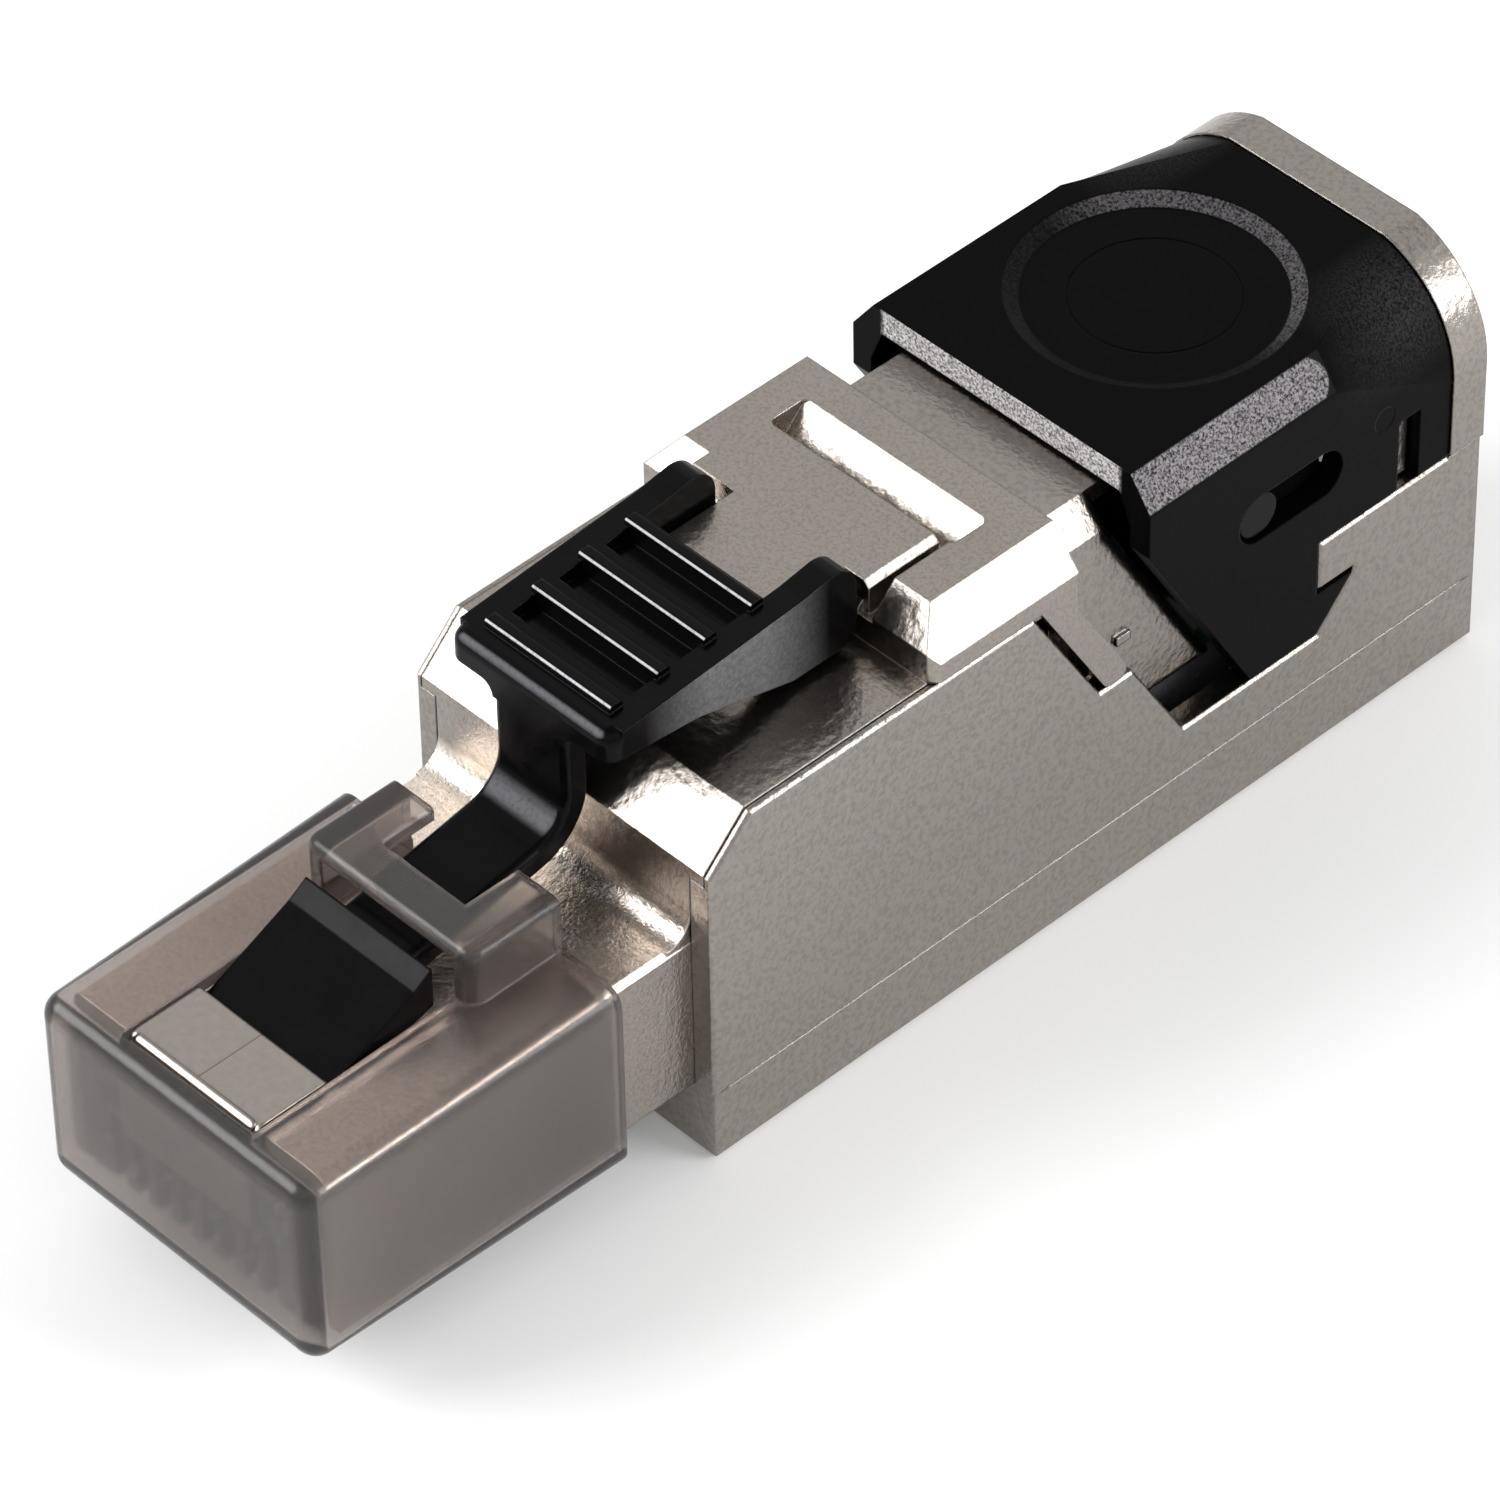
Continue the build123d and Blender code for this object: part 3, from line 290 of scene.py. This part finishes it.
# The sparks themselves, drawn 0.1 mm apart, coarser than they are, so that they show
spark_size, spark_depth, spark_low, spark_high = 0.1, 0.02, 0.3, 0.68
sparks = add(lid, "TexNoise", {"Vector": place, "Scale": 1 / spark_size, "Detail": 2.0,
                               "Roughness": 0.7})
# Painted sheen: in the sparked zones the noise mixes pale and dark greys that stand in for light
# scattered off the sparks, paler on the front rim; the sparks' bumps and roughness are real
spark_sheen_share = add(lid, "MapRange", [sparks, spark_low, spark_high], **SMOOTH)
dark_spark_sheen = add(lid, "Mix", {0: rim, 6: linear("#1C1A1D"), 7: linear("#5A575A")}, **COLOURS)
pale_spark_sheen = add(lid, "Mix", {0: rim, 6: linear("#9C989B"), 7: linear("#E8E4E4")}, **COLOURS)
spark_sheen = add(lid, "Mix", {0: spark_sheen_share, 6: dark_spark_sheen, 7: pale_spark_sheen}, **COLOURS)
smooth = add(lid, "Mix", {0: sparks, 6: linear("#040405"), 7: linear("#070708")}, **COLOURS)
tone = add(lid, "Mix", {0: zone, 6: smooth, 7: spark_sheen}, **COLOURS)
# The ejector pin's mark on each flank: a shallow disc with a burred rim
pin_middle, pin_radius, pin_flat, pin_depth, lid_edge = (0, 21.1, 12.6), 0.5, 0.44, 0.04, 0.1
on_flank = add(lid, "CombineXYZ", [0.0, depth, height])
pin = add(lid, "VectorMath", [on_flank, pin_middle], out="Value", operation="DISTANCE")
pin = add(lid, "MapRange", [pin, pin_radius, pin_flat], **SMOOTH)
edge = add(lid, "Bevel", {"Radius": lid_edge * MM}, samples=6)
relief = add(lid, "Bump", {"Height": pin, "Distance": pin_depth * MM, "Normal": edge},
             invert=True)
relief = add(lid, "Bump", {"Height": sparks, "Distance": spark_depth * MM, "Strength": zone,
                           "Normal": relief})
lid_smooth, lid_rough = 0.3, 0.6
rough = add(lid, "MapRange", [zone, 0.0, 1.0, lid_smooth, lid_rough])
shader = add(lid, "BsdfPrincipled", {"Base Color": tone, "Specular IOR Level": 0.03,
                                     "Roughness": rough, "Normal": relief})
add(lid, "OutputMaterial", {"Surface": shader})
dress(lid, "lid_cover")

# Press block and saddle
# Both are moulded of the lid's nylon and stay glossy, because their mould was polished. The melt
# left faint flow waves in them, a millimetre or two apart.
flow_wave, flow_depth, block_edge = 1.5, 0.02, 0.1
inner, place = finish_named("black nylon from a polished mould")
flow = add(inner, "TexNoise", {"Vector": place, "Scale": 1 / flow_wave, "Detail": 2.0})
edge = add(inner, "Bevel", {"Radius": block_edge * MM}, samples=6)
relief = add(inner, "Bump", {"Height": flow, "Distance": flow_depth * MM, "Normal": edge})
tone = add(inner, "Mix", {0: flow, 6: linear("#050506"), 7: linear("#0C0C0D")}, **COLOURS)
shader = add(inner, "BsdfPrincipled", {"Base Color": tone, "Specular IOR Level": 0.08,
                                       "Roughness": 0.18, "Normal": relief})
add(inner, "OutputMaterial", {"Surface": shader})
dress(inner, "wire_manager", "cable_saddle")

# Latch
# The latch is glossy black acetal, one springy moulding hooked under the retainer. The front
# edges of its ridges and the bend of its arm carry a painted highlight, and the outer flanks of its
# ears a painted reflection in mid grey.
gloss, place = finish_named("black glossy acetal")
flow_wave, flow_depth, latch_edge, painted_light_noise_size = 1.2, 0.01, 0.1, 0.15
latch_smooth, latch_rough = 0.16, 0.24
flow = add(gloss, "TexNoise", {"Vector": place, "Scale": 1 / flow_wave, "Detail": 2.0})
painted_light_noise = add(gloss, "TexNoise", {"Vector": place, "Scale": 1 / painted_light_noise_size, "Detail": 2.0,
                                 "Roughness": 0.7})
normal = add(gloss, "TexCoord", out="Normal")
depth = add(gloss, "SeparateXYZ", [place], out="Y")
# The painted highlight lies on faces turned forward and up, within the angles of these two cosines
highlight_way, highlight_facing_from, highlight_facing_to = (0, -slope, slope), 0.93, 0.995
# Measured along the plug from the body's front: the arm's bend, then the pad
bend_run, pad_run = (-4.5, -3.5), (-0.5, -0.42)
facing = add(gloss, "VectorMath", [normal, highlight_way], out="Value", operation="DOT_PRODUCT")
latch_highlight = add(gloss, "MapRange", [facing, highlight_facing_from, highlight_facing_to], **SMOOTH)
past_bend = add(gloss, "MapRange", [depth, front + bend_run[0], front + bend_run[1]])
latch_highlight = add(gloss, "Math", [latch_highlight, past_bend], operation="MULTIPLY")
# Noise breaks the painted highlight up: its values, and the least of the highlight that it leaves
highlight_noise_run, highlight_least, reflection_least = (0.25, 0.5), 0.5, 0.6
painted_light_share = add(gloss, "MapRange", [painted_light_noise, *highlight_noise_run, highlight_least, 1.0])
latch_highlight = add(gloss, "Math", [latch_highlight, painted_light_share], operation="MULTIPLY")
on_pad = add(gloss, "MapRange", [depth, front + pad_run[0], front + pad_run[1]])
# Painted highlight: pale greys on the ridges' front edges and the arm's bend, by the mask above
highlight_tone = add(gloss, "Mix", {0: on_pad, 6: linear("#58585C"), 7: linear("#CDCDD1")}, **COLOURS)
tone = add(gloss, "Mix", {0: flow, 6: linear("#030304"), 7: linear("#070708")}, **COLOURS)
tone = add(gloss, "Mix", {0: latch_highlight, 6: tone, 7: highlight_tone}, **COLOURS)
# Painted reflection on an ear's outer flank: faces turned sideways, outside the pad, fading out at
# both ends
ear_reflection_from, ear_reflection_to, ear_inside, ear_outside = 0.9, 0.97, 3.5, 3.6
ear_start, ear_end = (0.3, 3.0), (8.2, 5.5)
sideways = add(gloss, "Math", [add(gloss, "SeparateXYZ", [normal], out="X")],
               operation="ABSOLUTE")
ear_reflection = add(gloss, "MapRange", [sideways, ear_reflection_from, ear_reflection_to])
begun = add(gloss, "MapRange", [depth, front + ear_start[0], front + ear_start[1]])
ear_reflection = add(gloss, "Math", [ear_reflection, begun], operation="MINIMUM")
outside = add(gloss, "Math", [add(gloss, "SeparateXYZ", [place], out="X")],
              operation="ABSOLUTE")
outside = add(gloss, "MapRange", [outside, ear_inside, ear_outside])
not_over = add(gloss, "MapRange", [depth, front + ear_end[0], front + ear_end[1]])
outside = add(gloss, "Math", [outside, not_over], operation="MULTIPLY")
ear_reflection = add(gloss, "Math", [ear_reflection, outside], operation="MULTIPLY")
painted_light_share = add(gloss, "MapRange", [painted_light_noise, NOISE_LOW, NOISE_HIGH, reflection_least, 1.0])
ear_reflection = add(gloss, "Math", [ear_reflection, painted_light_share], operation="MULTIPLY")
# Painted reflection: a mid grey on the ears' outer flanks, broken up by the noise
tone = add(gloss, "Mix", {0: ear_reflection, 6: tone, 7: linear("#6E6D6F")}, **COLOURS)
edge = add(gloss, "Bevel", {"Radius": latch_edge * MM}, samples=6)
relief = add(gloss, "Bump", {"Height": flow, "Distance": flow_depth * MM, "Normal": edge})
rough = add(gloss, "MapRange", [flow, NOISE_LOW, NOISE_HIGH, latch_smooth, latch_rough])
shader = add(gloss, "BsdfPrincipled", {"Base Color": tone, "Specular IOR Level": 0.08,
                                       "Roughness": rough, "Normal": relief})
add(gloss, "OutputMaterial", {"Surface": shader})
dress(gloss, "latch")

# Nose insert and contact comb
# They are clear grey polycarbonate, so light sinks in a little, and the eye sees a milky depth
# and faint flow lines. The board tray and the terminal block are moulded of the same.
flow_wave, flow_depth, insert_edge = 0.9, 0.01, 0.08
insert_smooth, insert_rough = 0.18, 0.3
insert, place = finish_named("clear grey polycarbonate")
flow = add(insert, "TexNoise", {"Vector": place, "Scale": 1 / flow_wave, "Detail": 3.0})
tone = add(insert, "Mix", {0: flow, 6: linear("#77787B"), 7: linear("#5E5F62")}, **COLOURS)
edge = add(insert, "Bevel", {"Radius": insert_edge * MM}, samples=6)
relief = add(insert, "Bump", {"Height": flow, "Distance": flow_depth * MM, "Normal": edge})
rough = add(insert, "MapRange", [flow, NOISE_LOW, NOISE_HIGH, insert_smooth, insert_rough])
shader = add(insert, "BsdfPrincipled", {"Base Color": tone, "Transmission Weight": 0.35,
                                        "IOR": 1.58, "Roughness": rough, "Normal": relief})
add(insert, "OutputMaterial", {"Surface": shader})
dress(insert, "nose_insert", "contact_comb", "board_tray", "idc_block")

# Contacts
# The blades and the terminal forks are bronze with a flash of gold, so they shine, with the fine
# lines that stamping drew down their flanks about 0.08 mm apart.
line_gap, line_length, line_depth, blade_edge = 1 / 12, 1.0, 0.004, 0.05
gold_smooth, gold_rough = 0.15, 0.28
gold, place = finish_named("gold flash on stamped bronze")
stretched = add(gold, "Mapping", {
    "Vector": place, "Scale": (1 / line_gap, 1 / line_length, 1 / line_length)})
lines = add(gold, "TexNoise", {"Vector": stretched, "Scale": 1.0, "Detail": 2.0})
tone = add(gold, "Mix", {0: lines, 6: linear("#EBC873"), 7: linear("#C79B49")}, **COLOURS)
edge = add(gold, "Bevel", {"Radius": blade_edge * MM}, samples=6)
relief = add(gold, "Bump", {"Height": lines, "Distance": line_depth * MM, "Normal": edge})
rough = add(gold, "MapRange", [lines, NOISE_LOW, NOISE_HIGH, gold_smooth, gold_rough])
shader = add(gold, "BsdfPrincipled", {"Base Color": tone, "Metallic": 1.0, "Roughness": rough,
                                      "Normal": relief})
add(gold, "OutputMaterial", {"Surface": shader})
dress(gold, "plug_contacts", "idc_contacts")

# Circuit board
# It is glass laminate under green solder mask. Copper tracks about 0.3 mm wide and 2.04 mm apart
# show through the mask as paler, slightly raised lines.
track_gap, track_edge, track_full, track_proud, weave_size = 2.04, 0.16, 0.12, 0.03, 0.3
board, place = finish_named("green solder mask on glass laminate")
aside = add(board, "SeparateXYZ", [place], out="X")
from_track = add(board, "Math", [aside, track_gap / 2], operation="PINGPONG")
track = add(board, "MapRange", [from_track, track_edge, track_full], **SMOOTH)
weave = add(board, "TexNoise", {"Vector": place, "Scale": 1 / weave_size, "Detail": 2.0})
mask = add(board, "Mix", {0: weave, 6: linear("#123D22"), 7: linear("#0D2E19")}, **COLOURS)
tone = add(board, "Mix", {0: track, 6: mask, 7: linear("#1F5A33")}, **COLOURS)
relief = add(board, "Bump", {"Height": track, "Distance": track_proud * MM})
shader = add(board, "BsdfPrincipled", {"Base Color": tone, "Roughness": 0.3, "Normal": relief})
add(board, "OutputMaterial", {"Surface": shader})
dress(board, "circuit_board")

# Dust cap
# A soft cap of smoke tinted vinyl. Its skin is hazy and its body swallows light with depth, so
# the thin roof shows the nose inside and the thicker walls look dark and warm.
haze_size, cap_edge = 4.0, 0.2
smoke, place = finish_named("smoke tinted vinyl")
haze = add(smoke, "TexNoise", {"Vector": place, "Scale": 1 / haze_size, "Detail": 1.0})
tone = add(smoke, "Mix", {0: haze, 6: linear("#FDFBFA"), 7: linear("#F4F0ED")}, **COLOURS)
edge = add(smoke, "Bevel", {"Radius": cap_edge * MM}, samples=6)
shader = add(smoke, "BsdfPrincipled", {"Base Color": tone, "Transmission Weight": 0.97,
                                       "IOR": 1.38, "Roughness": 0.2, "Normal": edge})
tint = add(smoke, "VolumeAbsorption", {"Color": linear("#AC9F9A"), "Density": 1200.0})
add(smoke, "OutputMaterial", {"Surface": shader, "Volume": tint})
dress(smoke, "dust_cap")

# Studio
# White paper floor, a pale dome and two soft boxes. The floor shows white to the camera and in
# reflections, and keeps the plug's shadow.
reach, fibre_size, floor_glow = 1.5, 0.4, 0.12
floor_mesh = bpy.data.meshes.new("studio_floor")
floor_mesh.from_pydata([(-reach, -reach, 0), (reach, -reach, 0), (reach, reach, 0),
                        (-reach, reach, 0)], [], [(0, 1, 2, 3)])
floor = bpy.data.objects.new("studio_floor", floor_mesh)
bpy.context.scene.collection.objects.link(floor)
paper, place = finish_named("white studio paper")
fibres = add(paper, "TexNoise", {"Vector": place, "Scale": 1 / fibre_size, "Detail": 2.0})
tone = add(paper, "Mix", {0: fibres, 6: linear("#F5F5F5"), 7: linear("#F3F3F3")}, **COLOURS)
glossy = add(paper, "LightPath", out="Is Glossy Ray")
clear = add(paper, "LightPath", out="Is Transmission Ray")
seen = add(paper, "Math", [glossy, clear], operation="MAXIMUM")
seen = add(paper, "Math", [add(paper, "LightPath", out="Is Camera Ray"), seen],
           operation="MAXIMUM")
glow = add(paper, "Math", [seen, floor_glow], operation="MULTIPLY")
shader = add(paper, "BsdfPrincipled", {"Base Color": tone, "Roughness": 0.9,
                                       "Emission Color": linear("#FFFFFF"),
                                       "Emission Strength": glow})
add(paper, "OutputMaterial", {"Surface": shader})
floor.data.materials.append(paper)

# The dome is full at middle heights, and fainter near the horizon and straight above. By the
# upward part of a direction: where it rises, where it falls, and the levels there. Under the
# last pair, reflections show the white backdrop.
rise, rise_level, fall, fall_level = (0.2, 0.55), (0.65, 1.0), (0.8, 0.95), (0.95, 0.3)
backdrop_run = (0.1, 0.0)
world = bpy.data.worlds.new("studio")
bpy.context.scene.world = world
world.use_nodes = True
world.node_tree.nodes.clear()
upward = add(world, "SeparateXYZ", [add(world, "TexCoord", out="Generated")], out="Z")
middle = add(world, "MapRange", [upward, *rise, *rise_level], **SMOOTH)
dome = add(world, "MapRange", [upward, *fall, *fall_level], **SMOOTH)
dome = add(world, "Math", [middle, dome], operation="MULTIPLY")
glossy = add(world, "LightPath", out="Is Glossy Ray")
clear = add(world, "LightPath", out="Is Transmission Ray")
backdrop = add(world, "Math", [glossy, clear], operation="MAXIMUM")
backdrop = add(world, "Math", [backdrop, add(world, "MapRange", [upward, *backdrop_run])],
               operation="MULTIPLY")
seen = add(world, "Math", [add(world, "LightPath", out="Is Camera Ray"), backdrop],
           operation="MAXIMUM")
strength = add(world, "Mix", {0: seen, 2: dome, 3: 1.0}, data_type="FLOAT")
light = add(world, "Background", {"Color": (1, 1, 1, 1), "Strength": strength})
add(world, "OutputWorld", {"Surface": light})


def soft_box(name, toward, distance, width, height, radiance):
    """A rectangular lamp that faces the plug: its power is radiance times pi times its area."""
    lamp = bpy.data.lights.new(name, "AREA")
    lamp.shape = "RECTANGLE"
    lamp.size = width
    lamp.size_y = height
    lamp.energy = radiance * pi * width * height
    made = bpy.data.objects.new(name, lamp)
    bpy.context.scene.collection.objects.link(made)
    made.location = distance * Vector(toward).normalized()
    made.rotation_euler = (-made.location).to_track_quat("-Z", "Y").to_euler()


soft_box("front_left_box", (-0.535, -0.64, 0.56), distance=0.8, width=0.42, height=0.38,
         radiance=8.0)
soft_box("rear_right_box", (0.766, 0.50, 0.40), distance=0.8, width=0.40, height=0.28,
         radiance=9.0)

# Camera
# A long lens at the photograph's place: 47 degrees round from the front and 43 degrees up, 283 mm
# from a point over the plug's right flank, and rolled by one degree.
azimuth, elevation, roll = radians(46.963), radians(43.191), radians(-1.162)
distance = 283.25 * MM
target = Vector((7.213, -7.88, 17.325)) * MM
lens_pixels, picture_pixels = 9260.9, 1500
away = Vector((sin(azimuth) * cos(elevation), -cos(azimuth) * cos(elevation), sin(elevation)))
level = Vector((cos(azimuth), sin(azimuth), 0))
upright = away.cross(level)
right = cos(roll) * level + sin(roll) * upright
up = cos(roll) * upright - sin(roll) * level
lens = bpy.data.cameras.new("camera")
lens.sensor_width = 36
lens.sensor_fit = "HORIZONTAL"
lens.lens = lens.sensor_width * lens_pixels / picture_pixels
lens.clip_start = 0.01
lens.clip_end = 10
camera = bpy.data.objects.new("camera", lens)
bpy.context.scene.collection.objects.link(camera)
turned = Matrix((right, up, away)).transposed().to_4x4()
turned.translation = target + distance * away
camera.matrix_world = turned
bpy.context.scene.camera = camera
bpy.context.scene.view_settings.view_transform = "Standard"
